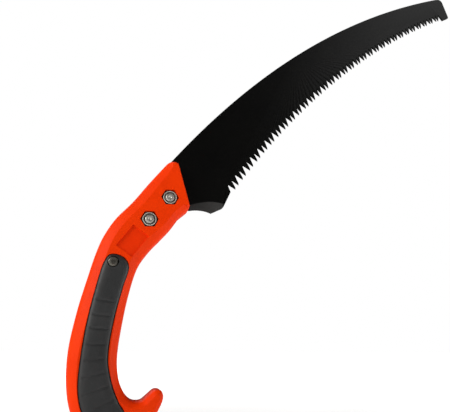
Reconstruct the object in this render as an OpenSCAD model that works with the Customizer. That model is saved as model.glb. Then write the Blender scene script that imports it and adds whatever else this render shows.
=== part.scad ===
// Fixed-blade curved pruning saw with a screwed two-panel grip.
// Each piece is drawn in the saw's own plane: X runs along the teeth at the heel, Z points to the
// blade's back, and the zero point is the first gullet. stand_up() then turns the whole saw so that
// the grip stands upright on Z, with its middle at the origin. Y is the thickness direction.

/* [Blade] */
// Thickness of the blade plate
blade_t = 1.5; // [1.2:0.1:2]
// Distance from one tooth to the next along the cutting edge
tooth_pitch = 5.15; // [4.8:0.05:5.2]
// Number of teeth
tooth_count = 64; // [56:2:66]
// Depth of the teeth at the heel
tooth_depth_heel = 6.5; // [4:0.1:6.8]
// Depth of the teeth at the nose
tooth_depth_nose = 6.2; // [3:0.1:6.6]
// How far along its pitch a tooth's tip lies. A small share leans the teeth towards the handle.
tip_share = 0.12; // [0.05:0.01:0.2]
// Radius of the curve that the gullets lie on
gullet_r = 777.6; // [760:1:800]
// Radius of the blade's back
back_r = 732; // [720:1:745]
// Height of the blade's back above the first gullet
root_w = 42.3; // [41.3:0.5:42.8]
// Length of the toothless nose past the last gullet
nose_len = 19; // [15:1:24]

/* [Handle] */
// Thickness of the handle's orange frame
frame_t = 19; // [18:0.5:22]
// How far the rounding of the frame's edges reaches in from the outline
edge_in = 2.5; // [1.5:0.1:2.5]
// How far the rounding of the frame's edges reaches down from the faces
edge_down = 6; // [3:0.5:7]
// Thickness of the web between the two grip panels
web_t = 5; // [4:0.5:6]
// How far the grip panels stand proud of the frame
panel_crown = 1.9; // [1:0.1:3]
// Length of the shallow rectangular recess
recess_len = 17; // [12:1:18]
// Height of the shallow rectangular recess
recess_w = 12.4; // [8:0.2:13]
// Depth of the shallow rectangular recess
recess_depth = 0.9; // [0.4:0.1:1.2]
// Radius of the cord hole in the butt
cord_hole_r = 2.75; // [2:0.25:2.75]
// Angle from the teeth at the heel to the horizontal, with the grip upright
tilt = 56; // [40:1:70]

/* [Fasteners] */
// Radius of the two blade bolts
bolt_r = 3; // [2.5:0.5:3]
// Distance across the flats of the lock nuts
nut_af = 10; // [9:0.5:10]
// Height of the lock nuts
nut_h = 6; // [5.5:0.5:6]
// Outer radius of the washers
washer_r = 6; // [5.5:0.5:6]
// Thickness of the washers
washer_t = 1.2; // [1:0.1:1.6]
// Radius of the two grip screws
screw_r = 2; // [1.5:0.5:2]

/* [Hidden] */
$fn = 64;

frame_orange = "#ec4408";
grip_black = "#1d1e20";
blade_black = "#101010";
steel = "#b9b8b2";
dark_steel = "#3a3a38";
brass = "#b5933c";
nylon_white = "#d8d6cc";

// Clearances: loose hole, thread, and between pieces that are clamped together
hole_gap = 0.2;
thread_gap = 0.05;
seat_gap = 0.05;
slot_gap = 0.1;

// Places in the saw's plane
grip_middle = [-128, 11];
front_bolt_at = [-38.35, 25.7];
rear_bolt_at = [-58.95, 26.9];
upper_screw_at = [-94.6, 26.9];
lower_screw_at = [-162.5, -28];
recess_at = [-77, 26.3];
cord_hole_at = [-160.5, -42.2];

// Levels across the thickness. The nuts are on the near side, at minus Y.
face_y = frame_t / 2;
nut_top_y = face_y - 0.5;
nut_seat_y = nut_top_y - nut_h;
washer_seat_y = 4.5;
head_seat_y = washer_seat_y + seat_gap + washer_t;
head_h = 3.3;
head_r = 5.25;
socket_af = 4;
panel_base_y = web_t / 2;
panel_rim_y = face_y - 0.3;
panel_top_y = face_y + panel_crown;
screw_head_r = 3.3;
screw_head_h = 2;
screw_top_y = panel_top_y - 0.6;
insert_r = 3;
insert_len = 5.2;
// Height of a lock nut's round collar, and the radius of the nylon ring inside it
collar_h = 1.6;
ring_r = 3.9;
// How far the lock nuts' corners are turned from the saw's length
nut_turn = 8;
// A hexagon's corner radius over half its width across flats
hex_grow = 1 / cos(30);

// Blade outline data
gullet_centre = [0, -gullet_r];
back_top_x = -29.7;
back_centre = [back_top_x, root_w - back_r];
pitch_angle = tooth_pitch / gullet_r * 180 / PI;
last_angle = pitch_angle * tooth_count;
// The third facet of a tooth runs from the tip to a shoulder, given as shares of pitch and depth
shoulder_share = 0.38;
shoulder_drop = 0.85;
tang_back = 38.6;
tang_end = -70;

// The handle's outline from the top of the head, round the butt and the hook, to the foot of the head
handle_spine = [
    [-20, 43.1], [-37, 43.5], [-55, 43.4], [-71, 44.5], [-85, 42.8], [-96, 39.4], [-108, 34.5],
    [-130, 24.8], [-150.8, 13.2], [-167, -1.1], [-176.2, -16.2], [-180, -30.3]
];
handle_butt = [
    [-178.2, -40.6], [-171.3, -47.6], [-160.6, -49.4], [-150, -47.2], [-141, -45.9], [-137.2, -44.3],
    [-135.5, -41.2], [-137.2, -38.2], [-141.5, -36.7], [-146.3, -34.8]
];
handle_belly = [
    [-148.7, -30], [-147.6, -24], [-143.4, -17.2], [-135, -9.6], [-120, -0.8], [-103, 7.6],
    [-87, 13.5], [-75, 14.3], [-64, 13.3], [-54, 12.5], [-44.5, 12.75]
];
head_foot = [-35, 10.7];
head_top = [-9, 42.5];

// One grip panel's outline, from its top corner down the spine side and back up the belly side
panel_outline = [
    [-92.4, 31.6], [-98.4, 31.1], [-105.6, 28.3], [-126, 18.7], [-145.3, 7.7], [-161.3, -4], [-170.4, -17.2],
    [-174.2, -29.6], [-170.5, -36.6], [-161.2, -36.2], [-155.4, -31], [-153, -25], [-147.6, -15.8],
    [-138.6, -5.8], [-122, 4.1], [-102.5, 12.9], [-91.6, 17.3], [-88.6, 22.3], [-89.3, 27.7]
];

function unit(v) = v / norm(v);

// Slope of a smooth curve at b, between its neighbours a and c, for a stretch of the given length
function slope_at(a, b, c, length) = (c - a) / (norm(b - a) + norm(c - b)) * length;

function hermite(a, b, slope_a, slope_b, t) =
    (2 * t ^ 3 - 3 * t ^ 2 + 1) * a + (t ^ 3 - 2 * t ^ 2 + t) * slope_a
    + (3 * t ^ 2 - 2 * t ^ 3) * b + (t ^ 3 - t ^ 2) * slope_b;

// Smooth closed curve through points p, with n steps from each point to the next
function smooth_loop(p, n) =
    let (m = len(p))
    [
        for (i = [0 : m - 1])
            let (
                a = p[(i + m - 1) % m],
                b = p[i],
                c = p[(i + 1) % m],
                d = p[(i + 2) % m],
                length = norm(c - b)
            )
            for (k = [0 : n - 1])
                hermite(b, c, slope_at(a, b, c, length), slope_at(b, c, d, length), k / n)
    ];

// Smooth open curve through points p; its ends run straight at their neighbours
function smooth_run(p, n) =
    let (m = len(p))
    [
        for (i = [0 : m - 2])
            let (
                b = p[i],
                c = p[i + 1],
                length = norm(c - b),
                slope_b = i == 0 ? c - b : slope_at(p[i - 1], b, c, length),
                slope_c = i == m - 2 ? c - b : slope_at(b, c, p[i + 2], length)
            )
            for (k = [0 : n - 1])
                hermite(b, c, slope_b, slope_c, k / n),
        p[m - 1]
    ];

// Arc of radius r that rounds the corner b between its neighbours a and c
function round_corner(a, b, c, r, n) =
    let (
        to_a = unit(a - b),
        to_c = unit(c - b),
        half = acos(to_a * to_c) / 2,
        middle = b + unit(to_a + to_c) * r / sin(half),
        start = b + to_a * r / tan(half) - middle,
        finish = b + to_c * r / tan(half) - middle,
        from = atan2(start.y, start.x),
        turn = atan2(start.x * finish.y - start.y * finish.x, start * finish)
    )
    [for (k = [0 : n]) middle + r * [cos(from + turn * k / n), sin(from + turn * k / n)]];

// The outline p, drawn anticlockwise, moved inwards by distance d
function inset(p, d) =
    let (m = len(p))
    [
        for (i = [0 : m - 1])
            let (
                before = unit(p[i] - p[(i + m - 1) % m]),
                after = unit(p[(i + 1) % m] - p[i]),
                inward = unit([-before.y - after.y, before.x + after.x]),
                mitre = sqrt((1 + before * after) / 2)
            )
            p[i] + inward * d / max(mitre, 0.6)
    ];

// A point on the circle about centre, at an angle from straight up towards +X
function on_circle(centre, r, angle) = centre + r * [sin(angle), cos(angle)];

function tooth_depth(k) = tooth_depth_heel + (tooth_depth_nose - tooth_depth_heel) * k / tooth_count;

head_round_top = round_corner(head_foot, head_top, handle_spine[0], 4.6, 6);
head_round_foot = round_corner(handle_belly[10], head_foot, head_top, 3, 5);
handle_outline = concat(
    head_round_top,
    smooth_run(concat(handle_spine, handle_butt, handle_belly), 3),
    head_round_foot
);
panel_edge = smooth_loop(panel_outline, 3);

teeth = [
    for (k = [0 : tooth_count - 1])
        each [
            on_circle(gullet_centre, gullet_r, pitch_angle * k),
            on_circle(gullet_centre, gullet_r - tooth_depth(k), pitch_angle * (k + tip_share)),
            on_circle(gullet_centre, gullet_r - tooth_depth(k) * shoulder_drop, pitch_angle * (k + shoulder_share))
        ],
    on_circle(gullet_centre, gullet_r, last_angle)
];
nose_foot_in = on_circle(gullet_centre, gullet_r - 7.4, last_angle + pitch_angle * 0.1);
nose_foot = on_circle(gullet_centre, gullet_r - 7, last_angle + pitch_angle * 2.25);
nose_reach = on_circle(gullet_centre, gullet_r, last_angle) + nose_len * [cos(last_angle), -sin(last_angle)];
nose_angle = atan2(nose_reach.x - back_centre.x, nose_reach.y - back_centre.y);
nose_back = on_circle(back_centre, back_r, nose_angle);
nose = concat(
    [nose_foot_in],
    round_corner(nose_foot_in, nose_foot, nose_back, 2.2, 5),
    round_corner(nose_foot, nose_back, on_circle(back_centre, back_r, nose_angle - 2), 4.5, 5)
);
back_start = atan2(-15 - back_top_x, back_r);
back = [for (k = [0 : 40]) on_circle(back_centre, back_r, nose_angle - 0.6 + (back_start - nose_angle + 0.6) * k / 40)];
tang = [
    [-20, tang_back], each round_corner([-20, tang_back], [tang_end, tang_back], [tang_end, 17.2], 3, 5),
    each round_corner([tang_end, tang_back], [tang_end, 17.2], [-38.4, 15.6], 3, 5), [-38.4, 15.6], [-34.3, 10.2]
];
// The hollow of the bark cutter, and the cutter's point and straight lower edge
heel = [
    each [for (k = [1 : 7]) hermite([-34.3, 10.2], [-26.4, -2.6], [9, -7.5], [2.6, -15], k / 7)],
    [-18.3, -6.8], [-16.4, -7], [-3.3, -4.7]
];
blade_outline = concat(teeth, nose, back, tang, heel);

module stand_up() {
    rotate([0, -tilt, 0]) translate([-grip_middle.x, 0, -grip_middle.y]) children();
}

// A flat plate of the outline p, from y0 to y1
module plate(p, y0, y1) {
    translate([0, y1, 0]) rotate([90, 0, 0]) linear_extrude(y1 - y0) polygon(p);
}

// A straight round bar along Y through the point at, from y0 to y1; faces = 6 makes it hexagonal
module bar(at, r, y0, y1, faces = 64, turn = 0) {
    translate([at.x, y1, at.y]) rotate([90, 0, 0]) rotate([0, 0, turn])
        cylinder(h = y1 - y0, r = r, $fn = faces);
}

// A stack of plates of the outline p, each level given as [inset, y], all starting at y0. The levels
// step in towards the face, which rounds the edge.
module stepped_plate(p, y0, levels) {
    for (level = levels)
        plate(inset(p, level[0]), y0, level[1]);
}

// Levels for an edge whose rounding reaches in by r and down by h from a face at level y
function round_edge(r, h, y) = [for (a = [12, 38, 64, 90]) [r * (1 - cos(a)), y - h * (1 - sin(a))]];

module handle_frame() {
    color(frame_orange) stand_up() difference() {
        union() {
            stepped_plate(handle_outline, 0, round_edge(edge_in, edge_down, face_y));
            mirror([0, 1, 0]) stepped_plate(handle_outline, 0, round_edge(edge_in, edge_down, face_y));
        }
        plate(
            [
                [-21.5, tang_back + slot_gap], [-20, 46], [2, 52], [2, -9], [-35, 8.8], [-38.9, 15.3],
                [tang_end - slot_gap, 17], [tang_end - slot_gap, tang_back + slot_gap]
            ],
            -blade_t / 2 - slot_gap, blade_t / 2 + slot_gap
        );
        for (at = [front_bolt_at, rear_bolt_at]) {
            bar(at, bolt_r + hole_gap, -face_y - 1, face_y + 1);
            bar(at, (nut_af / 2 + hole_gap) * hex_grow, -face_y - 1, -nut_seat_y, 6, nut_turn);
            bar(at, washer_r + 0.3, washer_seat_y, face_y + 1);
        }
        for (side = [-1, 1]) {
            plate(
                inset(panel_edge, -0.1),
                side < 0 ? -face_y - 1 : panel_base_y,
                side < 0 ? -panel_base_y : face_y + 1
            );
            translate([recess_at.x - recess_len / 2, side * face_y - recess_depth, recess_at.y - recess_w / 2])
                cube([recess_len, recess_depth * 2, recess_w]);
        }
        for (at = [upper_screw_at, lower_screw_at])
            bar(at, screw_r + hole_gap, -panel_base_y - 1, panel_base_y + 1);
        bar(cord_hole_at, cord_hole_r, -face_y - 1, face_y + 1);
    }
}

module blade() {
    color(blade_black) stand_up() difference() {
        plate(blade_outline, -blade_t / 2, blade_t / 2);
        for (at = [front_bolt_at, rear_bolt_at])
            bar(at, bolt_r + hole_gap, -blade_t, blade_t);
    }
}

// The body of a panel on the near side, from the web out to its crown
module panel_body() {
    mirror([0, 1, 0]) {
        plate(panel_edge, panel_base_y, panel_rim_y);
        stepped_plate(panel_edge, panel_rim_y - 1, [
            [0.4, panel_top_y - 0.75 * panel_crown], [1.2, panel_top_y - 0.4 * panel_crown],
            [2, panel_top_y - 0.14 * panel_crown], [3, panel_top_y]
        ]);
    }
}

module grip_panel_near() {
    color(grip_black) stand_up() difference() {
        panel_body();
        for (at = [upper_screw_at, lower_screw_at]) {
            bar(at, screw_r + hole_gap, -panel_top_y - 1, 0);
            bar(at, screw_head_r + hole_gap, -panel_top_y - 1, -screw_top_y + screw_head_h);
        }
    }
}

module grip_panel_far() {
    color(grip_black) stand_up() mirror([0, 1, 0]) difference() {
        panel_body();
        for (at = [upper_screw_at, lower_screw_at])
            bar(at, insert_r, -panel_base_y - insert_len - seat_gap, 0);
    }
}

// A blade bolt with a domed head and a hexagonal socket
module blade_bolt(at) {
    color(steel) stand_up() difference() {
        union() {
            bar(at, bolt_r, -nut_top_y - 0.1, head_seat_y + 0.1);
            translate([at.x, head_seat_y, at.y]) rotate([-90, 0, 0]) rotate_extrude() polygon([
                [0, 0], [head_r, 0], [head_r, 0.7], [head_r - 0.5, 1.7],
                [head_r - 1.4, 2.6], [head_r - 2.6, head_h], [0, head_h]
            ]);
        }
        bar(at, socket_af / 2 * hex_grow, head_seat_y + head_h - 2, head_seat_y + head_h + 1, 6);
        bar(at, 1.1, -nut_top_y - 1, -nut_top_y + 0.4);
    }
}

module washer(at) {
    color(steel) stand_up() difference() {
        bar(at, washer_r, washer_seat_y + seat_gap, head_seat_y);
        bar(at, bolt_r + hole_gap, washer_seat_y - 1, head_seat_y + 1);
    }
}

// A lock nut: a hexagon with a round collar that holds the nylon ring
module lock_nut(at) {
    color(steel) stand_up() difference() {
        union() {
            bar(at, nut_af / 2 * hex_grow, -nut_top_y + collar_h, -nut_seat_y, 6, nut_turn);
            bar(at, nut_af / 2 - 0.2, -nut_top_y, -nut_top_y + collar_h);
        }
        bar(at, bolt_r + thread_gap, -nut_top_y - 1, 0);
        bar(at, ring_r, -nut_top_y - 1, -nut_top_y + collar_h + 0.4);
    }
}

module nylon_ring(at) {
    color(nylon_white) stand_up() difference() {
        bar(at, ring_r, -nut_top_y + 0.5, -nut_top_y + collar_h + 0.4);
        bar(at, bolt_r + thread_gap, -nut_top_y - 1, 0);
    }
}

module grip_screw(at) {
    color(dark_steel) stand_up() difference() {
        union() {
            bar(at, screw_head_r, -screw_top_y, -screw_top_y + screw_head_h);
            bar(at, screw_r, -screw_top_y + screw_head_h - 0.5, panel_base_y + insert_len - 0.6);
        }
        bar(at, 1.25 * hex_grow, -screw_top_y - 1, -screw_top_y + 1.2, 6);
    }
}

module screw_insert(at) {
    color(brass) stand_up() difference() {
        bar(at, insert_r, panel_base_y + seat_gap, panel_base_y + insert_len);
        bar(at, screw_r, 0, panel_base_y + insert_len - 0.6);
    }
}

handle_frame();
blade();
grip_panel_near();
grip_panel_far();
blade_bolt(front_bolt_at);  // front_bolt
blade_bolt(rear_bolt_at);  // rear_bolt
washer(front_bolt_at);  // front_washer
washer(rear_bolt_at);  // rear_washer
lock_nut(front_bolt_at);  // front_lock_nut
lock_nut(rear_bolt_at);  // rear_lock_nut
nylon_ring(front_bolt_at);  // front_nylon_ring
nylon_ring(rear_bolt_at);  // rear_nylon_ring
grip_screw(upper_screw_at);  // upper_grip_screw
grip_screw(lower_screw_at);  // lower_grip_screw
screw_insert(upper_screw_at);  // upper_screw_insert
screw_insert(lower_screw_at);  // lower_screw_insert
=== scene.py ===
"""Fixed-blade curved pruning saw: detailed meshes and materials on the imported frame."""

import math
from collections import namedtuple

import bmesh
import bpy
import numpy as np
from mathutils import Matrix, Vector
from mathutils.geometry import delaunay_2d_cdt


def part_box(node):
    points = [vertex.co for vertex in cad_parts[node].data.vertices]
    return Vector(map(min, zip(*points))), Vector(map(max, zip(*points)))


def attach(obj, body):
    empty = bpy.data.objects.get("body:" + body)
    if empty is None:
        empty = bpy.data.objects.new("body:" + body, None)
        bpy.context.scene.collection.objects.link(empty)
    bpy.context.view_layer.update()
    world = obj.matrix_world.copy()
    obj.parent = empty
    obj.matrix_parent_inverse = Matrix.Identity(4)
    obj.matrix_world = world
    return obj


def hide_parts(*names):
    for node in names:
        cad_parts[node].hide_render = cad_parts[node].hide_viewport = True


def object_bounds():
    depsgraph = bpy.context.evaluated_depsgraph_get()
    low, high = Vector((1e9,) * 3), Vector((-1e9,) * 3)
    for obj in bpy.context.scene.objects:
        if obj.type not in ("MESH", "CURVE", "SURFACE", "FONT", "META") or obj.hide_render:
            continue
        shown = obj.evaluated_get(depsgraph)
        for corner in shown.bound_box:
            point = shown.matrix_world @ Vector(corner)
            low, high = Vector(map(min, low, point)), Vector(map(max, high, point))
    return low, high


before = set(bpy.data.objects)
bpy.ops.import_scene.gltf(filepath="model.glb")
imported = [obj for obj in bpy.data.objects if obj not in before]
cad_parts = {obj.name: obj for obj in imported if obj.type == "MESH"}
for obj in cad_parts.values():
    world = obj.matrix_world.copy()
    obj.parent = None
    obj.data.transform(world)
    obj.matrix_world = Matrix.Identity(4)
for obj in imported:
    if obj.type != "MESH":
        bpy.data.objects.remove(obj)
cad_box = [list(corner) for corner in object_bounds()]

MM = 0.001

# ---------------------------------------------------------------- the saw's own plane
# Outlines are drawn in millimetres in the saw's plane: x along the teeth at the heel, z towards the
# blade's back, zero at the first gullet. place() turns them upright, as the frame stands.
TILT = math.radians(56)
GRIP_MIDDLE = (-128.0, 11.0)


def place(x, y, z):
    """A point of the saw's plane and thickness, in metres in the row's frame."""
    dx, dz = x - GRIP_MIDDLE[0], z - GRIP_MIDDLE[1]
    across = dx * math.cos(TILT) - dz * math.sin(TILT)
    up = dx * math.sin(TILT) + dz * math.cos(TILT)
    return Vector((across, y, up)) * MM


def middle_of(node):
    """The middle of a CAD node, in the saw's plane, in millimetres."""
    low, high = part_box(node)
    across, up = (low[0] + high[0]) / 2 / MM, (low[2] + high[2]) / 2 / MM
    x = across * math.cos(TILT) + up * math.sin(TILT) + GRIP_MIDDLE[0]
    z = -across * math.sin(TILT) + up * math.cos(TILT) + GRIP_MIDDLE[1]
    return (x, z)


def levels_of(node):
    """The lowest and highest y of a CAD node, in millimetres."""
    low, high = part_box(node)
    return low[1] / MM, high[1] / MM


FRONT_BOLT, REAR_BOLT = middle_of("front_bolt"), middle_of("rear_bolt")
UPPER_SCREW, LOWER_SCREW = middle_of("upper_grip_screw"), middle_of("lower_grip_screw")
CORD_HOLE, CORD_HOLE_R = (-160.5, -42.2), 2.75

# Levels along the thickness, from the blade's middle. The far side is +y, the nuts' side -y.
FACE_Y = levels_of("handle_frame")[1]
BLADE_HALF = levels_of("blade")[1]
WEB_Y, CROWN_Y = levels_of("grip_panel_far")
NUT_TOP_Y, NUT_SEAT_Y = (-y for y in levels_of("front_lock_nut"))
WASHER_SEAT_Y, HEAD_SEAT_Y = levels_of("front_washer")
HEAD_TOP_Y = levels_of("front_bolt")[1]
OUTSIDE_Y = FACE_Y + 2

# The blade
GULLET_R, BACK_R, ROOT_W, BACK_TOP_X, BACK_END_X = 777.6, 732.0, 42.3, -29.7, -15
TOOTH_PITCH, TOOTH_COUNT = 5.15, 64
DEPTH_HEEL, DEPTH_NOSE = 6.5, 6.2
# Places on a tooth are shares of the pitch along and of the depth down. Towards the nose the gullets grow
# deeper and the teeth slimmer by these shares.
TIP, SHOULDER = (0.12, 1.0), (0.40, 0.85)
ROOT_UP, ROOT_DEEPER, SHOULDER_SLIMMER, FLANK_SLIMMER = 0.02, 0.08, 0.04, 0.05
# The teeth are set to alternate sides, from this share of their depth down
TOOTH_SET, SET_FROM = 0.28, 0.15
# Half a tooth's thickness, less than the plate's: chosen by trying, so that the gaps look as open as in the
# photograph
TOOTH_HALF = 0.45
# Where a tooth's bevel ends, and how far behind the gullets the plate takes its full thickness
BEVEL_SHARE, BEVEL_TIP, BEVEL_SHOULDER = 0.11, (0.22, 0.78), (0.39, 0.68)
THINNED_BEHIND = 0.9
# The toothless nose: its length, its foot's depth below the gullets at its start and at its corner, where
# along the teeth's steps that corner stands, and the radii of its corner and its tip
NOSE_LEN = 19.0
NOSE_START_DEPTH, NOSE_FOOT_DEPTH, NOSE_FOOT_STEPS = 7.4, 7.0, 2.25
NOSE_FOOT_R, NOSE_TIP_R = 2.2, 4.5
CHAMFER = 0.32
TANG = [(-20, 38.6), (-67, 38.6), (-70, 35.6), (-70, 20.2), (-67, 17.2), (-38.4, 15.6), (-35.2, 11.6)]
# The bark cutter: its sharp edge curves from top to turn and on along its foot. Then come the line where its
# bevel ends and half its edge's thickness.
CUTTER_TOP, CUTTER_TURN = (-34.3, 10.2), (-26.4, -2.6)
CUTTER_FOOT = [(-23.6, -4.1), (-20.8, -5.5), (-18.3, -6.8)]
CUTTER_BEVEL = [(-30.6, 12.4), (-27.6, 10.2), (-24.0, 7.2), (-20.6, 4.0), (-18.0, 0.8), (-15.6, -3.2),
                (-14.4, -6.0)]
CUTTER_HALF = 0.10
# From the bark cutter to the first tooth, each point with the place where the flat begins behind it
HEEL_STEP = [((-16.4, -7.0), (-16.2, -6.3)), ((-3.3, -4.7), (-3.9, -3.9)), ((-1.4, -1.8), (-1.7, -0.8))]

# The fasteners
NUT_FLATS, NUT_TURN, COLLAR_H = 10.0, math.radians(8), 1.9
BOLT_R, THREAD_PITCH, THREAD_DEPTH, THREAD_TURNS = 3.0, 1.0, 0.35, 11
# A bolt's head stands this far off its washer, so that their faces never coincide as it turns
HEAD_GAP = 0.03
BOLT_SOCKET, SCREW_SOCKET = 4.0, 2.5
WASHER_R = 6.0
NYLON_R = 3.88
SCREW_HEAD_R, SCREW_HEAD_H, SCREW_R = 3.3, 2.0, 2.0
INSERT_R, KNURL_DEPTH, KNURL_COUNT = 2.92, 0.08, 24

# The handle's outline, each point with how far the rounding of its edge reaches in
SPINE = [
    (-20, 43.1, 6.0), (-37, 43.5, 7.0), (-55, 43.4, 7.2), (-71, 44.5, 7.2), (-85, 42.8, 7.0),
    (-96, 39.4, 7.0), (-108, 34.5, 7.0), (-130, 24.8, 7.0), (-150.8, 13.2, 6.4), (-167, -1.1, 5.6),
    (-176.2, -16.2, 5.2), (-180, -30.3, 5.0),
]
BUTT = [
    (-178.2, -40.6, 4.6), (-171.3, -47.6, 4.0), (-160.6, -49.4, 3.6), (-150, -47.2, 3.2),
    (-141, -45.9, 2.6), (-137.2, -44.3, 2.4), (-135.5, -41.2, 2.3), (-137.2, -38.2, 2.4),
    (-141.5, -36.7, 2.6), (-146.3, -34.8, 3.0),
]
BELLY = [
    (-148.7, -30, 3.6), (-147.6, -24, 4.0), (-143.4, -17.2, 4.0), (-135, -9.6, 4.2), (-120, -0.8, 4.6),
    (-103, 7.6, 5.0), (-87, 13.5, 5.8), (-75, 14.3, 6.2), (-64, 13.3, 5.2), (-54, 12.5, 4.6),
    (-44.5, 12.75, 4.4),
]
HEAD_FOOT, HEAD_TOP = (-35.0, 10.7), (-9.0, 42.5)
HEAD_FOOT_R, HEAD_TOP_R = 3.0, 4.6
# The same reach at the head's front edge, and where its top and foot corners end
FRONT_REACH, TOP_REACH, FOOT_REACH = 1.0, 5.4, 4.2
# The rounded band along the edge: shares of its reach in from the outline and down from the face. Where it
# reaches in less than BAND_FULL, it goes down less than BAND_DOWN.
BAND = [(0.0, 1.0), (0.015, 0.86), (0.06, 0.71), (0.13, 0.58), (0.22, 0.475), (0.34, 0.375), (0.50, 0.27),
        (0.70, 0.155), (0.96, 0.016), (1.0, 0.0)]
BAND_DOWN, BAND_FULL = 7.5, 4.4
OUTLINE_INSET = 0.13

BLADE_SLOT = [(-21.5, 38.7), (-20, 46), (2, 52), (2, -9), (-35, 8.8), (-38.9, 15.3), (-70.1, 17),
              (-70.1, 38.7)]
RECESS = [(-85.5, 20.1), (-68.5, 20.1), (-68.5, 32.5), (-85.5, 32.5)]
RECESS_DEPTH = 0.9
# How far the handle's openings clear the pieces in them: on a side, a radius or a hexagon's flats
SLOT_GAP, POCKET_GAP, BOLT_GAP, NUT_GAP, WASHER_GAP = 0.1, 0.1, 0.2, 0.5, 0.3

PANEL = [
    (-92.4, 31.6), (-98.4, 31.1), (-105.6, 28.3), (-126, 18.7), (-145.3, 7.7), (-161.3, -4), (-170.4, -17.2),
    (-174.2, -29.6), (-170.5, -36.6), (-161.2, -36.2), (-155.4, -31), (-153, -25), (-147.6, -15.8),
    (-138.6, -5.8), (-122, 4.1), (-102.5, 12.9), (-91.6, 17.3), (-88.6, 22.3), (-89.3, 27.7),
]
PANEL_GAP = 0.12
# The panel's rim lies this far below the handle's face. It swells to the crown over this reach.
RIM_DOWN, CROWN_DOWN, CROWN_REACH = 0.55, 0.05, 6.2
# The grip's middle line, and the shallow grooves moulded across the panels along it
GROOVE_LINE = [(-108, 20.0), (-124, 11.5), (-141, 0.5), (-152.5, -12.0), (-160, -25.0), (-163, -33)]
GROOVE_STEP, GROOVE_DEPTH, GROOVE_HALF, GROOVE_REACH, GROOVE_FADE = 8.0, 0.45, 0.75, 10.0, 1.6
SCREW_WELL_R, INSERT_WELL_R, INSERT_WELL_DEPTH = 3.45, 3.0, 5.25


# ---------------------------------------------------------------- curves
def unit(v):
    """The vector made one long."""
    return v / np.linalg.norm(v)


def hermite(a, b, slope_a, slope_b, t):
    """Point at share t of the cubic from a to b with these slopes at its ends."""
    return (
        (2 * t**3 - 3 * t**2 + 1) * a + (t**3 - 2 * t**2 + t) * slope_a
        + (3 * t**2 - 2 * t**3) * b + (t**3 - t**2) * slope_b
    )


def slope_at(a, b, c, length):
    """Slope at b of a smooth curve through a, b and c, for a stretch of this length."""
    return (c - a) / (np.linalg.norm((b - a)[:2]) + np.linalg.norm((c - b)[:2])) * length


def smooth_run(points, n, closed=False):
    """Smooth curve through points, n steps from each to the next."""
    p = [np.array(q, float) for q in points]
    m = len(p)
    out = []
    for i in range(m if closed else m - 1):
        b, c = p[i], p[(i + 1) % m]
        length = np.linalg.norm((c - b)[:2])
        first, last = not closed and i == 0, not closed and i == m - 2
        slope_b = c - b if first else slope_at(p[i - 1], b, c, length)
        slope_c = c - b if last else slope_at(b, c, p[(i + 2) % m], length)
        out += [hermite(b, c, slope_b, slope_c, k / n) for k in range(n)]
    return out if closed else out + [p[-1]]


def round_corner(a, b, c, r, n):
    """Arc of radius r that rounds the corner b between a and c."""
    a, b, c = (np.array(q[:2], float) for q in (a, b, c))
    to_a, to_c = unit(a - b), unit(c - b)
    half = math.acos(to_a @ to_c) / 2
    middle = b + unit(to_a + to_c) * r / math.sin(half)
    start, finish = b + to_a * r / math.tan(half) - middle, b + to_c * r / math.tan(half) - middle
    turn_from = math.atan2(start[1], start[0])
    turn = math.atan2(start[0] * finish[1] - start[1] * finish[0], start @ finish)
    angles = [turn_from + turn * k / n for k in range(n + 1)]
    return [middle + r * np.array((math.cos(t), math.sin(t))) for t in angles]


def inward_normals(p):
    """Inward unit normals of an anticlockwise outline, lengthened at sharp corners."""
    out = []
    for i in range(len(p)):
        before, after = unit(p[i] - p[i - 1]), unit(p[(i + 1) % len(p)] - p[i])
        normal = unit(np.array((-before[1] - after[1], before[0] + after[0])))
        out.append(normal / max(math.sqrt((1 + before @ after) / 2), 0.6))
    return out


def on_circle(centre, r, angle):
    """Point on a circle, the angle taken from straight up towards +x."""
    return np.array((centre[0] + r * math.sin(angle), centre[1] + r * math.cos(angle)))


# ---------------------------------------------------------------- mesh helpers
def new_object(name, bm, materials, smooth_angle=None):
    """Makes an object of a bmesh whose vertices are in the row's frame."""
    bmesh.ops.recalc_face_normals(bm, faces=bm.faces)
    mesh = bpy.data.meshes.new(name)
    bm.to_mesh(mesh)
    bm.free()
    obj = bpy.data.objects.new(name, mesh)
    bpy.context.scene.collection.objects.link(obj)
    for m in materials:
        mesh.materials.append(m)
    if smooth_angle is not None:
        shade_by_angle(obj, smooth_angle)
    return obj


def shade_by_angle(obj, degrees):
    """Smooth shading, with edges over the angle kept sharp."""
    mesh = obj.data
    bm = bmesh.new()
    bm.from_mesh(mesh)
    limit = math.radians(degrees)
    for face in bm.faces:
        face.smooth = True
    for edge in bm.edges:
        edge.smooth = len(edge.link_faces) == 2 and edge.calc_face_angle(0) < limit
    bm.to_mesh(mesh)
    bm.free()


def apply_modifiers(obj):
    """Bakes the object's modifiers into its mesh."""
    graph = bpy.context.evaluated_depsgraph_get()
    mesh = bpy.data.meshes.new_from_object(obj.evaluated_get(graph))
    old = obj.data
    obj.modifiers.clear()
    obj.data = mesh
    bpy.data.meshes.remove(old)


def join_loops(bm, a, b):
    """Faces between two loops of vertices, either of which may be a single point."""
    n = max(len(a), len(b))
    for k in range(n):
        j = (k + 1) % n
        if len(a) == 1:
            bm.faces.new((a[0], b[k], b[j]))
        elif len(b) == 1:
            bm.faces.new((a[j], a[k], b[0]))
        else:
            bm.faces.new((a[j], a[k], b[k], b[j]))


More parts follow.
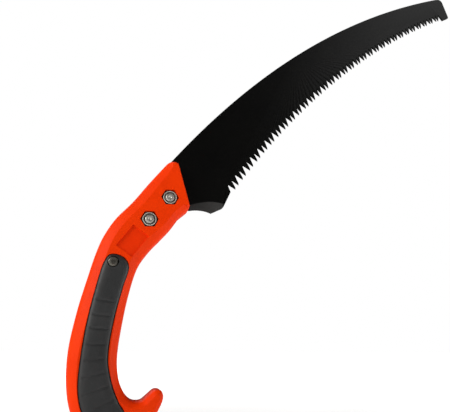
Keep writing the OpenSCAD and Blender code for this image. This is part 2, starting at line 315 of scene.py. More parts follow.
def plate_bmesh(outline, y0, y1):
    """A closed prism of the outline between two levels."""
    bm = bmesh.new()
    low = [bm.verts.new(place(q[0], y0, q[1])) for q in outline]
    high = [bm.verts.new(place(q[0], y1, q[1])) for q in outline]
    bm.faces.new(low)
    bm.faces.new(high[::-1])
    join_loops(bm, low, high)
    bmesh.ops.recalc_face_normals(bm, faces=bm.faces)
    return bm


def disc(at, r, count, turn=0.0):
    """Points round a circle in the saw's plane."""
    steps = [turn + 2 * math.pi * k / count for k in range(count)]
    return [(at[0] + r * math.cos(t), at[1] + r * math.sin(t)) for t in steps]


def hexagon(at, flats, turn=0.0):
    """A hexagon with two corners along the saw's length, or turned from it."""
    return disc(at, flats / 2 / math.cos(math.pi / 6), 6, turn)


def cut(obj, cutters):
    """Cuts prisms, each (outline, y0, y1), out of the object."""
    tools = []
    for outline, y0, y1 in cutters:
        mesh = bpy.data.meshes.new("cutter")
        bm = plate_bmesh(outline, y0, y1)
        bm.to_mesh(mesh)
        bm.free()
        tool = bpy.data.objects.new("cutter", mesh)
        bpy.context.scene.collection.objects.link(tool)
        tools.append(tool)
        modifier = obj.modifiers.new("cut", "BOOLEAN")
        modifier.operation = "DIFFERENCE"
        modifier.solver = "EXACT"
        modifier.object = tool
    apply_modifiers(obj)
    for tool in tools:
        mesh = tool.data
        bpy.data.objects.remove(tool)
        bpy.data.meshes.remove(mesh)
    drop_slivers(obj)


def drop_slivers(obj, merge=2e-6, shortest=1e-6):
    """Merges corners that lie within these metres, so no face is left without an area."""
    bm = bmesh.new()
    bm.from_mesh(obj.data)
    bmesh.ops.remove_doubles(bm, verts=bm.verts, dist=merge)
    bmesh.ops.dissolve_degenerate(bm, dist=shortest, edges=bm.edges)
    bm.to_mesh(obj.data)
    bm.free()


def soften(obj, width, from_angle, smooth_angle):
    """Rounds the object's sharp edges as far as the faces beside them leave room, and sets its shading.
    Narrow faces on the handle leave about a micrometre, so its cut edges stay crisp."""
    modifier = obj.modifiers.new("soften", "BEVEL")
    modifier.width = width * MM
    modifier.segments = 3
    modifier.limit_method = "ANGLE"
    modifier.angle_limit = math.radians(from_angle)
    modifier.use_clamp_overlap = True
    modifier.miter_outer = "MITER_ARC"
    apply_modifiers(obj)
    drop_slivers(obj)
    shade_by_angle(obj, smooth_angle)


def even_normals(obj):
    """Lets large flat faces keep their own normals beside narrow rounded edges."""
    modifier = obj.modifiers.new("even", "WEIGHTED_NORMAL")
    modifier.mode = "FACE_AREA"
    modifier.keep_sharp = True
    apply_modifiers(obj)


def at_angle(value, angle):
    """A ring's measure, which may be a function of the angle round its axis."""
    return value(angle) if callable(value) else value


def turned(name, at, rings, material, count=64, smooth_angle=32):
    """A closed turned piece on an axis along y. Each ring is (radius, y). A ring of radius 0 is a point
    on the axis; without one, the last ring joins the first round the bore."""
    bm = bmesh.new()
    angles = [2 * math.pi * k / count for k in range(count)]
    loops = []
    for radius, y in rings:
        if radius == 0.0:
            loops.append([bm.verts.new(place(at[0], y, at[1]))])
            continue
        loop = []
        for t in angles:
            x, z = at[0] + at_angle(radius, t) * math.cos(t), at[1] + at_angle(radius, t) * math.sin(t)
            loop.append(bm.verts.new(place(x, at_angle(y, t), z)))
        loops.append(loop)
    has_bore = len(loops[0]) > 1
    for a, b in list(zip(loops, loops[1:])) + ([(loops[-1], loops[0])] if has_bore else []):
        join_loops(bm, a, b)
    return new_object(name, bm, [material], smooth_angle)


def stand_for(obj, node, body):
    """The object replaces a CAD node, which it hides, and rides on its body."""
    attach(obj, body)
    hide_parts(node)


# ---------------------------------------------------------------- materials
def material(name):
    """An empty node material: returns it with its node tree and its Principled shader."""
    m = bpy.data.materials.new(name)
    m.use_nodes = True
    tree = m.node_tree
    return m, tree, tree.nodes["Principled BSDF"]


def add_node(tree, kind, inputs=None, **settings):
    """Adds a node; each input is a value, or a socket to link from."""
    node = tree.nodes.new(kind)
    for key, value in settings.items():
        setattr(node, key, value)
    for key, value in (inputs or {}).items():
        if isinstance(value, bpy.types.NodeSocket):
            tree.links.new(value, node.inputs[key])
        else:
            node.inputs[key].default_value = value
    return node


def object_space(tree, scale=(1, 1, 1), turn=0.0):
    """Object coordinates, turned about y and stretched."""
    coords = add_node(tree, "ShaderNodeTexCoord")
    mapping = add_node(tree, "ShaderNodeMapping", {"Vector": coords.outputs["Object"], "Scale": scale,
                                                    "Rotation": (0, turn, 0)})
    return mapping.outputs["Vector"]


def noise(tree, vector, scale, detail=4.0, rough=0.55):
    """Cloudy noise, from 0 to 1; scale is in clouds per metre."""
    node = add_node(tree, "ShaderNodeTexNoise", {"Vector": vector, "Scale": scale, "Detail": detail,
                                                 "Roughness": rough})
    return node.outputs["Fac"]


def ramp(tree, factor, stops):
    """A colour ramp; each stop is (position, colour or grey)."""
    node = add_node(tree, "ShaderNodeValToRGB", {"Fac": factor})
    elements = node.color_ramp.elements
    while len(elements) < len(stops):
        elements.new(0.5)
    for element, (position, colour) in zip(elements, stops):
        element.position = position
        grey = isinstance(colour, (int, float))
        element.color = (colour, colour, colour, 1) if grey else (*colour, 1)
    return node.outputs["Color"]


def mix_colour(tree, factor, a, b):
    """Colour a where the factor is 0, b where it is 1."""
    node = add_node(tree, "ShaderNodeMix", data_type="RGBA")
    for socket, value in (("Factor", factor), ("A", a), ("B", b)):
        target = [s for s in node.inputs if s.name == socket and s.type in ("VALUE", "RGBA") and s.enabled][0]
        if isinstance(value, bpy.types.NodeSocket):
            tree.links.new(value, target)
        else:
            target.default_value = value if socket == "Factor" else (*value, 1)
    return [s for s in node.outputs if s.type == "RGBA" and s.enabled][0]


def bump(tree, height, strength, distance, normal=None):
    """A normal raised by the height, on top of another normal if one is given."""
    inputs = {"Height": height, "Strength": strength, "Distance": distance}
    if normal is not None:
        inputs["Normal"] = normal
    return add_node(tree, "ShaderNodeBump", inputs).outputs["Normal"]


def orange_plastic(name, low, high, rough):
    """Moulded plastic: low and high are the ends of its slight colour variation."""
    scuffed = (0.80, 0.085, 0.012)
    m, tree, shader = material(name)
    space = object_space(tree)
    colour = ramp(tree, noise(tree, space, 45, 3), [(0.3, low), (0.7, high)])
    scuff = ramp(tree, noise(tree, space, 620, 3), [(0.66, 0.0), (0.80, 0.30)])
    tree.links.new(mix_colour(tree, scuff, colour, scuffed), shader.inputs["Base Color"])
    tree.links.new(ramp(tree, noise(tree, space, 140, 5), [(0.3, rough), (0.7, rough + 0.10)]),
                   shader.inputs["Roughness"])
    grain = bump(tree, noise(tree, space, 1500, 3), 0.10, 0.00004)
    tree.links.new(bump(tree, noise(tree, space, 60, 2), 0.10, 0.0003, grain), shader.inputs["Normal"])
    shader.inputs["Specular IOR Level"].default_value = 0.05
    return m


def blade_coating():
    """A near-black coating, rubbed a little paler in streaks along the blade."""
    m, tree, shader = material("black_blade_coating")
    along = object_space(tree, (1.0, 1.0, 14.0), turn=math.radians(38))
    space = object_space(tree)
    streak = noise(tree, along, 130, 6, 0.6)
    cloud = noise(tree, space, 28)
    base = ramp(tree, cloud, [(0.3, (0.0007, 0.0007, 0.0006)), (0.75, (0.0016, 0.0015, 0.0012))])
    rub = ramp(tree, streak, [(0.52, 0.0), (0.80, 0.30)])
    tree.links.new(mix_colour(tree, rub, base, (0.008, 0.0075, 0.0068)), shader.inputs["Base Color"])
    fine = noise(tree, along, 700, 3)
    tree.links.new(ramp(tree, fine, [(0.3, 0.34), (0.7, 0.42)]), shader.inputs["Roughness"])
    tree.links.new(bump(tree, streak, 0.10, 0.00005), shader.inputs["Normal"])
    shader.inputs["Specular IOR Level"].default_value = 0.10
    return m


def ground_steel():
    """The ground bevel of the bark cutter, darkened towards the handle by painted shade."""
    painted_shade_full_at, painted_shade_gone_at = 0.053, 0.072
    m, tree, shader = material("ground_bevel_steel")
    lines = object_space(tree, (1.0, 1.0, 26.0), turn=TILT)
    grind = noise(tree, lines, 240, rough=0.6)
    steel = ramp(tree, grind, [(0.3, (0.022, 0.021, 0.020)), (0.7, (0.042, 0.040, 0.038))])
    # Painted shade: along the blade the steel is mixed towards near black as it nears the handle
    along = add_node(tree, "ShaderNodeSeparateXYZ", {"Vector": object_space(tree)})
    share = add_node(tree, "ShaderNodeMapRange", {"Value": along.outputs["X"], "From Min": painted_shade_full_at,
                                                  "From Max": painted_shade_gone_at, "To Min": 0.75, "To Max": 0.0})
    tree.links.new(mix_colour(tree, share.outputs["Result"], steel, (0.006, 0.0058, 0.0055)),
                   shader.inputs["Base Color"])
    tree.links.new(ramp(tree, grind, [(0.3, 0.42), (0.7, 0.55)]), shader.inputs["Roughness"])
    tree.links.new(bump(tree, grind, 0.2, 0.00004), shader.inputs["Normal"])
    shader.inputs["Metallic"].default_value = 0.3
    return m


def grip_rubber():
    """Black rubber with a fine pebbled grain and a little dust."""
    m, tree, shader = material("black_grip_rubber")
    space = object_space(tree)
    cloud = noise(tree, space, 60)
    base = ramp(tree, cloud, [(0.3, (0.0085, 0.0088, 0.0092)), (0.7, (0.016, 0.0165, 0.017))])
    dust = ramp(tree, noise(tree, space, 700, 3), [(0.62, 0.0), (0.85, 0.25)])
    tree.links.new(mix_colour(tree, dust, base, (0.07, 0.068, 0.064)), shader.inputs["Base Color"])
    tree.links.new(ramp(tree, noise(tree, space, 200, 3), [(0.3, 0.50), (0.7, 0.62)]),
                   shader.inputs["Roughness"])
    cells = add_node(tree, "ShaderNodeTexVoronoi", {"Vector": space, "Scale": 1500})
    tree.links.new(bump(tree, cells.outputs["Distance"], 0.30, 0.00008), shader.inputs["Normal"])
    shader.inputs["Specular IOR Level"].default_value = 0.40
    return m


def bare_metal(name, low, high, rough, metallic=1.0, grain=900):
    """A metal with a fine mottle; metallic under one leaves it the grey veil of a plated finish. low and
    high are the ends of its colour, rough those of its roughness."""
    m, tree, shader = material(name)
    space = object_space(tree)
    cloud = noise(tree, space, 420)
    tree.links.new(ramp(tree, cloud, [(0.3, low), (0.72, high)]), shader.inputs["Base Color"])
    tree.links.new(ramp(tree, noise(tree, space, grain), [(0.3, rough[0]), (0.7, rough[1])]),
                   shader.inputs["Roughness"])
    tree.links.new(bump(tree, noise(tree, space, grain * 2, 2), 0.18, 0.00003), shader.inputs["Normal"])
    shader.inputs["Metallic"].default_value = metallic
    return m


def nylon():
    """Grey nylon, faintly mottled. It is darker than its own grey, as painted shade inside the nut's collar.
    """
    m, tree, shader = material("grey_nylon_painted_shade")
    space = object_space(tree)
    low, high = (0.035, 0.033, 0.028), (0.075, 0.07, 0.06)
    tree.links.new(ramp(tree, noise(tree, space, 900, 3), [(0.3, low), (0.7, high)]),
                   shader.inputs["Base Color"])
    tree.links.new(bump(tree, noise(tree, space, 2500, 2), 0.2, 0.00004), shader.inputs["Normal"])
    shader.inputs["Roughness"].default_value = 0.55
    return m


def pale_floor():
    """A pale studio floor that fades into the white surround, this many metres away from the saw."""
    fade = 1.2
    m, tree, shader = material("pale_floor")
    space = object_space(tree)
    tree.links.new(ramp(tree, noise(tree, space, 3, 2), [(0.3, 0.86), (0.7, 0.88)]),
                   shader.inputs["Base Color"])
    shader.inputs["Roughness"].default_value = 0.8
    shader.inputs["Emission Color"].default_value = (1, 1, 1, 1)
    away = add_node(tree, "ShaderNodeTexGradient", {"Vector": object_space(tree, (1 / fade,) * 3)},
                    gradient_type="QUADRATIC_SPHERE")
    tree.links.new(ramp(tree, away.outputs["Fac"], [(0.0, 1.0), (0.75, 0.35)]),
                   shader.inputs["Emission Strength"])
    return m


ORANGE = orange_plastic("orange_plastic", (0.68, 0.029, 0.0002), (0.77, 0.037, 0.0003), 0.44)
# The recess floors' orange: its higher roughness is their matt finish, its darker colour is painted shade
ORANGE_FLOOR_PAINTED_SHADE = orange_plastic("matt_orange_painted_shade", (0.64, 0.023, 0.0002), (0.73, 0.029, 0.0003), 0.52)
BLACK = blade_coating()
GROUND = ground_steel()
RUBBER = grip_rubber()
STEEL = bare_metal(
    "zinc_plated_steel", (0.28, 0.265, 0.23), (0.45, 0.43, 0.38), (0.32, 0.46), metallic=0.6)
DARK_STEEL = bare_metal(
    "blackened_steel", (0.07, 0.065, 0.055), (0.17, 0.16, 0.135), (0.36, 0.50), metallic=0.8)
# A paler copy of the zinc-plated steel: painted highlight on the nuts' lips
PAINTED_HIGHLIGHT_STEEL = bare_metal(
    "zinc_steel_painted_highlight", (0.46, 0.43, 0.37), (0.68, 0.64, 0.57), (0.34, 0.48), metallic=0.5)
# A darker copy of the zinc-plated steel: painted shade on the nuts' bodies in their pockets
PAINTED_SHADE_STEEL = bare_metal(
    "zinc_steel_painted_shade", (0.07, 0.065, 0.055), (0.13, 0.12, 0.10), (0.42, 0.56), metallic=0.6)
BRASS = bare_metal("turned_brass", (0.45, 0.31, 0.10), (0.58, 0.42, 0.16), (0.28, 0.40))
# The nylon's grey is its own; the extra darkness is painted shade inside the collar
NYLON_PAINTED_SHADE = nylon()


# ---------------------------------------------------------------- handle frame
def frame_outline():
    """The handle's outline, each point with how far the rounding of its edge reaches in."""
    top_steps, foot_steps = 12, 9
    top = [(*q, FRONT_REACH + (TOP_REACH - FRONT_REACH) * k / top_steps) for k, q in enumerate(
        round_corner(HEAD_FOOT, HEAD_TOP, SPINE[0], HEAD_TOP_R, top_steps))]
    foot = [(*q, FOOT_REACH + (FRONT_REACH - FOOT_REACH) * (k / foot_steps) ** 1.5) for k, q in enumerate(
        round_corner(BELLY[-1], HEAD_FOOT, HEAD_TOP, HEAD_FOOT_R, foot_steps))]
    return np.array(top + [tuple(q) for q in smooth_run(SPINE + BUTT + BELLY, 7)] + foot)


def frame_body():
    """The handle before anything is cut out of it: two flat faces and the rounded bands between them."""
    line = frame_outline()
    flat, reach = line[:, :2], line[:, 2]
    inward = inward_normals(flat)
    bm = bmesh.new()
    loops = []
    for side, band in ((-1, BAND[::-1]), (1, BAND)):
        for share, down in band:
            loop = []
            for q, normal, r in zip(flat, inward, reach):
                q = q + normal * (r * share + OUTLINE_INSET)
                deep = BAND_DOWN * min(1.0, r / BAND_FULL)
                loop.append(bm.verts.new(place(q[0], side * (FACE_Y - deep * down), q[1])))
            loops.append(loop)
    bm.faces.new(loops[0])
    bm.faces.new(loops[-1][::-1])
    for a, b in zip(loops, loops[1:]):
        join_loops(bm, a, b)
    return bm


def frame_cutters():
    """What is cut out of the handle: slot, panel pockets, recesses, nut pockets, counterbores, holes."""
    pocket = smooth_run(PANEL, 6, closed=True)
    pocket = [q - normal * POCKET_GAP for q, normal in zip(pocket, inward_normals(pocket))]
    cutters = [(BLADE_SLOT, -BLADE_HALF - SLOT_GAP, BLADE_HALF + SLOT_GAP)]
    for side in (-1, 1):
        cutters.append((pocket, *sorted((side * WEB_Y, side * OUTSIDE_Y))))
        cutters.append((RECESS, *sorted((side * (FACE_Y - RECESS_DEPTH), side * OUTSIDE_Y))))
    for at in (FRONT_BOLT, REAR_BOLT):
        cutters.append((disc(at, BOLT_R + BOLT_GAP, 40), -OUTSIDE_Y, OUTSIDE_Y))
        cutters.append((hexagon(at, NUT_FLATS + NUT_GAP, NUT_TURN), -OUTSIDE_Y, -NUT_SEAT_Y))
        cutters.append((disc(at, WASHER_R + WASHER_GAP, 64), WASHER_SEAT_Y - 0.05, OUTSIDE_Y))
    for at in (UPPER_SCREW, LOWER_SCREW):
        cutters.append((disc(at, SCREW_R + BOLT_GAP, 32), -WEB_Y - 1, WEB_Y + 1))
    cutters.append((disc(CORD_HOLE, CORD_HOLE_R, 40), -OUTSIDE_Y, OUTSIDE_Y))
    return cutters


def build_frame():
    """The orange moulded handle. Its label recesses are floored in a matt orange that is also darker, as
    painted shade.
    """
    floor_y, tolerance = (FACE_Y - RECESS_DEPTH) * MM, 1e-5
    obj = new_object("moulded_handle", frame_body(), [ORANGE, ORANGE_FLOOR_PAINTED_SHADE])
    cut(obj, frame_cutters())
    soften(obj, 0.3, from_angle=50, smooth_angle=38)
    # Painted shade: the faces of the recess floors take the darker orange
    for face in obj.data.polygons:
        if all(abs(abs(obj.data.vertices[v].co.y) - floor_y) < tolerance for v in face.vertices):
            face.material_index = 1
    even_normals(obj)
    stand_for(obj, "handle_frame", "saw")


# ---------------------------------------------------------------- grip panels
def segment_distance(points, a, b):
    """Distance from each point to the segment from a to b."""
    along = b - a
    t = np.clip(((points - a) @ along) / (along @ along), 0, 1)
    return np.linalg.norm(points - a - t[:, None] * along, axis=1)


def groove_places():
    """Middle and direction of each groove, evenly spaced down the grip."""
    line = smooth_run(GROOVE_LINE, 24)
    places, gone = [], 0.0
    for a, b in zip(line, line[1:]):
        gone += np.linalg.norm(b - a)
        if gone >= GROOVE_STEP:
            gone -= GROOVE_STEP
            places.append((b, unit(b - a)))
    return places


def ring_distance(points, ring):
    """Distance from each point to a closed outline."""
    return np.min([segment_distance(points, a, b) for a, b in zip(ring, np.roll(ring, -1, axis=0))], axis=0)


def inside_ring(points, ring):
    """Whether each point lies inside a closed outline."""
    inside = np.zeros(len(points), bool)
    for a, b in zip(ring, np.roll(ring, -1, axis=0)):
        crosses = (a[1] > points[:, 1]) != (b[1] > points[:, 1])
        with np.errstate(divide="ignore", invalid="ignore"):
            at = (b[0] - a[0]) * (points[:, 1] - a[1]) / (b[1] - a[1]) + a[0]
        inside ^= crosses & (points[:, 0] < at)
    return inside


def panel_sheet(ring):
    """The outline filled with an even grid of points, and the triangles between them."""
    grid, clear_of_edge = 0.6, 0.44
    low, high = ring.min(axis=0), ring.max(axis=0)
    xs, zs = np.arange(low[0], high[0], grid), np.arange(low[1], high[1], grid)
    cloud = np.array([(x + (j % 2) * grid / 2, z) for j, z in enumerate(zs) for x in xs])
    keep = inside_ring(cloud, ring) & (ring_distance(cloud, ring) > clear_of_edge)
    points = [Vector(q) for q in np.vstack([ring, cloud[keep]])]
    sides = [(i, (i + 1) % len(ring)) for i in range(len(ring))]
    verts, _, faces, _, _, _ = delaunay_2d_cdt(points, sides, [], 1, 1e-5)
    return np.array([tuple(v) for v in verts]), faces


def panel_height(points, ring):
    """The panel's height at each point: crowned from its rim, with the grooves pressed in."""
    depth = ring_distance(points, ring)
    rim_y, crown_y = FACE_Y - RIM_DOWN, CROWN_Y - CROWN_DOWN
    share = np.clip(depth / CROWN_REACH, 0, 1)
    height = rim_y + (crown_y - rim_y) * np.sqrt(1 - (1 - share) ** 2)
    fade = np.clip((depth - GROOVE_FADE) / GROOVE_FADE, 0, 1)
    for middle, along in groove_places():
        off = (points - middle) @ along
        across = np.abs((points - middle) @ np.array((-along[1], along[0])))
        dip = np.clip(1 - (off / GROOVE_HALF) ** 2, 0, 1) * (across < GROOVE_REACH)
        height -= GROOVE_DEPTH * dip * fade
    return height


def build_panel(name, node, side):
    """A rubber grip panel, with wells for the screws' heads on the near side, for inserts on the far."""
    edge = smooth_run(PANEL, 6, closed=True)
    edge = np.array([q + normal * PANEL_GAP for q, normal in zip(edge, inward_normals(edge))])
    flat, faces = panel_sheet(edge)
    bm = bmesh.new()
    top = [bm.verts.new(place(q[0], side * h, q[1])) for q, h in zip(flat, panel_height(flat, edge))]
    for face in faces:
        bm.faces.new([top[i] for i in face])
    border = [e for e in bm.edges if len(e.link_faces) == 1]
    bottoms = {}
    for e in border:
        for v in e.verts:
            if v not in bottoms:
                bottoms[v] = bm.verts.new(Vector((v.co.x, side * WEB_Y * MM, v.co.z)))
    for e in border:
        a, b = e.verts
        bm.faces.new((a, b, bottoms[b], bottoms[a]))
    bmesh.ops.holes_fill(bm, edges=[e for e in bm.edges if len(e.link_faces) == 1], sides=0)
    obj = new_object(name, bm, [RUBBER])
    if side < 0:
        well = (SCREW_WELL_R, -CROWN_Y - 2, levels_of("upper_grip_screw")[0] + SCREW_HEAD_H)
    else:
        well = (INSERT_WELL_R, 0, WEB_Y + INSERT_WELL_DEPTH)
    cut(obj, [(disc(at, well[0], 48), *well[1:]) for at in (UPPER_SCREW, LOWER_SCREW)])
    shade_by_angle(obj, 50)
    stand_for(obj, node, "saw")


# ---------------------------------------------------------------- blade
# A point of the blade's edge: its place and y on the near face, the same on the far face, and the place
# behind it where the flat of both faces begins
EdgePoint = namedtuple("EdgePoint", "near near_y far far_y flat")
TOOTH_STEP = TOOTH_PITCH / GULLET_R
GULLET_CENTRE, BACK_CENTRE = (0.0, -GULLET_R), (BACK_TOP_X, ROOT_W - BACK_R)


def tooth_points(k):
    """The edge round tooth k, which is bevelled on one face and set towards the other."""
    along = k / TOOTH_COUNT
    depth = DEPTH_HEEL + (DEPTH_NOSE - DEPTH_HEEL) * along
    side = 1 if k % 2 else -1
    root = -(ROOT_UP + ROOT_DEEPER * along)
    full = [(0.0, root), (0.05, 0.42), TIP, (SHOULDER[0] - SHOULDER_SLIMMER * along, SHOULDER[1]),
            (0.73 - FLANK_SLIMMER * along, 0.38), (0.96 - FLANK_SLIMMER * along, root)]
    ground = [(BEVEL_SHARE, 0.04), (0.15, 0.38), BEVEL_TIP, BEVEL_SHOULDER, (0.66, 0.34),
              (1 - BEVEL_SHARE, 0.04)]

    def tooth_place(share, drop):
        return on_circle(GULLET_CENTRE, GULLET_R - depth * drop, TOOTH_STEP * (k + share))

    points = []
    for (share, drop), at_ground in zip(full, ground):
        lean = side * TOOTH_SET * max(0.0, drop - SET_FROM) / (1 - SET_FROM)
        outer, inner = tooth_place(share, drop), tooth_place(*at_ground)
        near, far = (inner, outer) if side > 0 else (outer, inner)
        flat = on_circle(GULLET_CENTRE, GULLET_R + THINNED_BEHIND, TOOTH_STEP * (k + 0.1 + 0.8 * share))
        points.append(EdgePoint(near, -TOOTH_HALF + lean, far, TOOTH_HALF + lean, flat))
    return points


def plain_points(before):
    """The chamfered edge from the last tooth's point before it, round nose, back and tang, to the cutter."""
    last = TOOTH_STEP * TOOTH_COUNT
    start = on_circle(GULLET_CENTRE, GULLET_R - NOSE_START_DEPTH, last + TOOTH_STEP * 0.1)
    foot = on_circle(GULLET_CENTRE, GULLET_R - NOSE_FOOT_DEPTH, last + TOOTH_STEP * NOSE_FOOT_STEPS)
    reach = on_circle(GULLET_CENTRE, GULLET_R, last) + NOSE_LEN * np.array((math.cos(last), -math.sin(last)))
    nose_angle = math.atan2(reach[0] - BACK_CENTRE[0], reach[1] - BACK_CENTRE[1])
    tip = on_circle(BACK_CENTRE, BACK_R, nose_angle)
    past = on_circle(BACK_CENTRE, BACK_R, nose_angle - math.radians(2))
    line = [on_circle(GULLET_CENTRE, GULLET_R, last + TOOTH_STEP * 0.02), start]
    line += round_corner(start, foot, tip, NOSE_FOOT_R, 10) + round_corner(foot, tip, past, NOSE_TIP_R, 10)
    back_from, back_to = nose_angle - math.radians(0.6), math.atan2(BACK_END_X - BACK_TOP_X, BACK_R)
    line += [on_circle(BACK_CENTRE, BACK_R, back_from + (back_to - back_from) * k / 90) for k in range(91)]
    line += [np.array(q, float) for q in TANG]
    inward = inward_normals([before] + line + [np.array(CUTTER_TOP)])[1:-1]
    y = BLADE_HALF - CHAMFER * 0.8
    return [EdgePoint(q, -y, q, y, q + normal * CHAMFER) for q, normal in zip(line, inward)]


def cutter_points():
    """The bark cutter's edge, hollow-ground on both faces, and the step from it to the first tooth."""
    top, turn = np.array(CUTTER_TOP), np.array(CUTTER_TURN)
    edge = [hermite(top, turn, np.array((9, -7.5)), np.array((2.6, -15)), k / 14) for k in range(15)]
    edge += [np.array(q) for q in CUTTER_FOOT]
    inner = smooth_run(CUTTER_BEVEL, 8)
    flats = [inner[round(k * (len(inner) - 1) / (len(edge) - 1))] for k in range(len(edge))]
    points = [EdgePoint(q, -CUTTER_HALF, q, CUTTER_HALF, flat) for q, flat in zip(edge, flats)]
    return points + [EdgePoint(q, -BLADE_HALF, q, BLADE_HALF, flat) for q, flat in HEEL_STEP]


def build_blade():
    """The blade: two flats, and from each a strip out to the edge, which the teeth and the cutter thin."""
    line = [point for k in range(TOOTH_COUNT) for point in tooth_points(k)]
    line += plain_points(line[-1].near)
    line += cutter_points()
    bm = bmesh.new()
    near_edge = [bm.verts.new(place(p.near[0], p.near_y, p.near[1])) for p in line]
    far_edge = [bm.verts.new(place(p.far[0], p.far_y, p.far[1])) for p in line]
    near_flat = [bm.verts.new(place(p.flat[0], -BLADE_HALF, p.flat[1])) for p in line]
    far_flat = [bm.verts.new(place(p.flat[0], BLADE_HALF, p.flat[1])) for p in line]
    ground = []
    for i, p in enumerate(line):
        j = (i + 1) % len(line)
        bm.faces.new((near_edge[j], near_edge[i], far_edge[i], far_edge[j]))
        strips = [bm.faces.new((near_edge[i], near_edge[j], near_flat[j], near_flat[i])),
                  bm.faces.new((far_edge[j], far_edge[i], far_flat[i], far_flat[j]))]
        if max(abs(p.near_y), abs(line[j].near_y)) <= CUTTER_HALF:
            ground += strips
    for face in ground:
        face.material_index = 1
    bm.faces.new(near_flat)
    bm.faces.new(far_flat[::-1])
    bmesh.ops.remove_doubles(bm, verts=bm.verts, dist=1e-7)
    obj = new_object("set_tooth_blade", bm, [BLACK, GROUND])
    holes = [disc(at, BOLT_R + BOLT_GAP, 32) for at in (FRONT_BOLT, REAR_BOLT)]
    cut(obj, [(hole, -BLADE_HALF - 1, BLADE_HALF + 1) for hole in holes])
    shade_by_angle(obj, 18)
    stand_for(obj, "blade", "saw")


# ---------------------------------------------------------------- fasteners
def nut_reach(t):
    """Radius of the nut's hexagon at an angle."""
    return NUT_FLATS / 2 / math.cos((t - NUT_TURN) % (math.pi / 3) - math.pi / 6)


def build_nut(where, at):
    """A hexagon lock nut: its round collar holds the nylon ring. Its body is a darker copy of the zinc-plated
    steel, as painted shade in its pocket, and its near lip a paler copy, as a painted highlight.
    """
    top, seat = -NUT_TOP_Y, -NUT_SEAT_Y
    shoulder = top + COLLAR_H
    chamfer_from = NUT_FLATS / 2 - 0.12
    bore_r, lip = BOLT_R + 0.05, 0.3

    def chamfered(t):
        return shoulder + max(0.0, nut_reach(t) - chamfer_from) * math.tan(math.radians(35))

    rings = [
        (bore_r, seat), (NUT_FLATS / 2 - 0.3, seat), (nut_reach, seat - 0.25), (nut_reach, chamfered),
        (chamfer_from, shoulder), (4.6, shoulder - 0.05), (4.56, top + 0.75), (4.54, top + 0.28),
        (4.47, top + 0.1), (4.35, top + 0.02), (4.12, top), (3.98, top + 0.05), (3.9, top + 0.22),
        (NYLON_R, top + 0.6), (NYLON_R, top + 2.0), (bore_r, top + 2.0),
    ]
    obj = turned(f"{where}_nyloc_nut", at, rings, PAINTED_SHADE_STEEL, count=96)
    obj.data.materials.append(PAINTED_HIGHLIGHT_STEEL)
    # Painted highlight: the faces of the lip take the paler steel, and the rest keeps the darker copy, which
    # is painted shade
    for face in obj.data.polygons:
        if face.center.y < (top + lip) * MM:
            face.material_index = 1
    stand_for(obj, f"{where}_lock_nut", "saw")


def build_ring(where, at):
    """The nylon ring inside a lock nut's collar."""
    top, bore_r = -NUT_TOP_Y + 0.5, BOLT_R + 0.05
    rings = [(bore_r, top + 0.35), (BOLT_R + 0.3, top + 0.08), (BOLT_R + 0.55, top), (3.75, top + 0.1),
             (NYLON_R, top + 0.3), (NYLON_R, top + 1.45), (bore_r, top + 1.45)]
    obj = turned(f"{where}_locking_ring", at, rings, NYLON_PAINTED_SHADE, count=64, smooth_angle=50)
    stand_for(obj, f"{where}_nylon_ring", "saw")


def build_bolt(where, at):
    """A button-head bolt: a domed end with a small pit, a ridged thread, and a socket in its head."""
    end = -NUT_TOP_Y - 0.08
    seat, top = HEAD_SEAT_Y + HEAD_GAP, HEAD_TOP_Y
    rings = [(0.0, end + 0.75), (0.5, end + 0.6), (0.95, end + 0.25), (1.25, end + 0.04), (1.5, end),
             (2.1, end + 0.02), (2.5, end + 0.16), (2.8, end + 0.42), (BOLT_R, end + 0.75)]
    for k in range(1, THREAD_TURNS + 1):
        rings += [(BOLT_R, end + k * THREAD_PITCH), (BOLT_R - THREAD_DEPTH, end + (k + 0.5) * THREAD_PITCH)]
    rings += [(BOLT_R, seat - 0.6), (BOLT_R, seat), (4.9, seat), (5.2, seat + 0.12), (5.25, seat + 0.4),
              (5.2, seat + 0.8), (4.95, seat + 1.5), (4.5, seat + 2.2), (3.9, seat + 2.8), (3.3, seat + 3.15),
              (2.95, top), (0.0, top)]
    obj = turned(f"{where}_button_bolt", at, rings, STEEL, count=72, smooth_angle=40)
    cut(obj, [(hexagon(at, BOLT_SOCKET), top - 2.0, top + 1)])
    shade_by_angle(obj, 40)
    stand_for(obj, f"{where}_bolt", f"{where}_bolt")


def build_washer(where, at):
    """The flat washer under a bolt's head, with worn edges."""
    low, high = levels_of(f"{where}_washer")
    rings = [(3.25, low + 0.1), (3.4, low), (5.85, low), (WASHER_R, low + 0.15), (WASHER_R, high - 0.25),
             (5.9, high - 0.08), (5.72, high), (3.4, high), (3.25, high - 0.1)]
    obj = turned(f"{where}_flat_washer", at, rings, STEEL, count=72)
    stand_for(obj, f"{where}_washer", f"{where}_washer")


def build_screw(where, at):
    """A dark socket screw, its domed head on the near side."""
    low, high = levels_of(f"{where}_grip_screw")
    rings = [(0.0, low), (1.9, low), (2.45, low + 0.1), (2.9, low + 0.35), (3.2, low + 0.8),
             (SCREW_HEAD_R, low + 1.3), (SCREW_HEAD_R, low + 1.95), (SCREW_R, low + SCREW_HEAD_H),
             (SCREW_R, high - 0.3), (1.7, high), (0.0, high)]
    obj = turned(f"{where}_panel_screw", at, rings, DARK_STEEL, count=56, smooth_angle=40)
    cut(obj, [(hexagon(at, SCREW_SOCKET), low - 1, low + 1.3)])
    shade_by_angle(obj, 40)
    stand_for(obj, f"{where}_grip_screw", "saw")


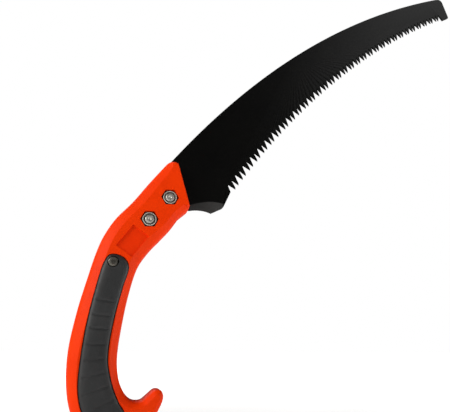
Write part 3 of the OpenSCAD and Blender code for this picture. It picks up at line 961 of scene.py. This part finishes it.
def build_insert(where, at):
    """A threaded brass insert, with two knurled bands and a groove between them."""
    low, high = levels_of(f"{where}_screw_insert")

    def knurl(t):
        return INSERT_R + KNURL_DEPTH * math.cos(KNURL_COUNT * t)

    rings = [(SCREW_R, low), (2.8, low), (knurl, low + 0.25), (knurl, high - 1.4), (2.75, high - 1.3),
             (2.75, high - 1.0), (knurl, high - 0.9), (knurl, high - 0.1), (2.7, high), (SCREW_R, high)]
    obj = turned(f"{where}_brass_insert", at, rings, BRASS, count=96)
    stand_for(obj, f"{where}_screw_insert", "saw")


build_frame()
build_panel("near_rubber_panel", "grip_panel_near", -1)
build_panel("far_rubber_panel", "grip_panel_far", 1)
build_blade()
for where, at in (("front", FRONT_BOLT), ("rear", REAR_BOLT)):
    build_nut(where, at)
    build_ring(where, at)
    build_bolt(where, at)
    build_washer(where, at)
for where, at in (("upper", UPPER_SCREW), ("lower", LOWER_SCREW)):
    build_screw(where, at)
    build_insert(where, at)


# ---------------------------------------------------------------- floor, light and camera
SAW_MIDDLE, NOSE_MIDDLE = (0.06, 0.0, 0.05), (0.27, 0.0, 0.29)
# Each light's name, place, aim, size in metres, power in watts and colour
LIGHTS = [
    ("key", (-1.55, -0.62, 0.8), SAW_MIDDLE, 0.8, 34, (1.0, 0.985, 0.96)),
    ("fill", (1.3, -0.28, 0.12), SAW_MIDDLE, 0.35, 7, (1.0, 0.99, 0.97)),
    ("nose_light", (0.76, -0.49, 0.87), NOSE_MIDDLE, 0.45, 0.9, (1, 1, 1)),
    ("back", (-0.6, 1.4, 1.0), SAW_MIDDLE, 1.2, 8, (1, 1, 1)),
]
WORLD_LIGHT = 0.10
# The camera's place in metres and its axes, worked out from the blade's teeth
CAMERA_PLACE = (0.00453, -0.25897, -0.01439)
CAMERA_RIGHT, CAMERA_FORWARD = (0.9609, -0.2766, 0.0035), (0.2588, 0.9034, 0.3420)
SENSOR, LENS = 36, 32


def build_floor():
    """The floor lies half a millimetre below the saw's lowest point."""
    bm = bmesh.new()
    bmesh.ops.create_circle(bm, cap_ends=True, segments=96, radius=30)
    obj = new_object("floor", bm, [pale_floor()])
    obj.location.z = cad_box[0][2] - 0.0005


def area_light(name, spot, target, size, power, colour):
    """A square soft light that looks at its target."""
    data = bpy.data.lights.new(name, "AREA")
    data.shape = "SQUARE"
    data.size = size
    data.energy = power
    data.color = colour
    obj = bpy.data.objects.new(name, data)
    obj.location = spot
    obj.rotation_euler = (Vector(target) - Vector(spot)).to_track_quat("-Z", "Y").to_euler()
    bpy.context.scene.collection.objects.link(obj)


def build_world():
    """A surround that the camera sees as white and that lights the saw only faintly."""
    world = bpy.data.worlds.new("studio")
    bpy.context.scene.world = world
    world.use_nodes = True
    tree = world.node_tree
    shown = add_node(tree, "ShaderNodeBackground", {"Color": (1, 1, 1, 1), "Strength": 1.0})
    lit = add_node(tree, "ShaderNodeBackground", {"Color": (0.97, 0.98, 1.0, 1), "Strength": WORLD_LIGHT})
    path = add_node(tree, "ShaderNodeLightPath")
    mix = add_node(tree, "ShaderNodeMixShader", {0: path.outputs["Is Camera Ray"], 1: lit.outputs[0],
                                                 2: shown.outputs[0]})
    tree.links.new(mix.outputs[0], tree.nodes["World Output"].inputs["Surface"])


def build_camera():
    """The camera stands where the photograph was taken from."""
    data = bpy.data.cameras.new("camera")
    data.sensor_fit = "HORIZONTAL"
    data.sensor_width = SENSOR
    data.lens = LENS
    data.clip_start = 0.005
    obj = bpy.data.objects.new("camera", data)
    right, forward = Vector(CAMERA_RIGHT).normalized(), Vector(CAMERA_FORWARD).normalized()
    up = right.cross(forward).normalized()
    turn = Matrix((right, up, -forward)).transposed()
    obj.matrix_world = Matrix.Translation(CAMERA_PLACE) @ turn.to_4x4()
    bpy.context.scene.collection.objects.link(obj)
    bpy.context.scene.camera = obj


bpy.context.scene.view_settings.view_transform = "Standard"
build_floor()
for light in LIGHTS:
    area_light(*light)
build_world()
build_camera()
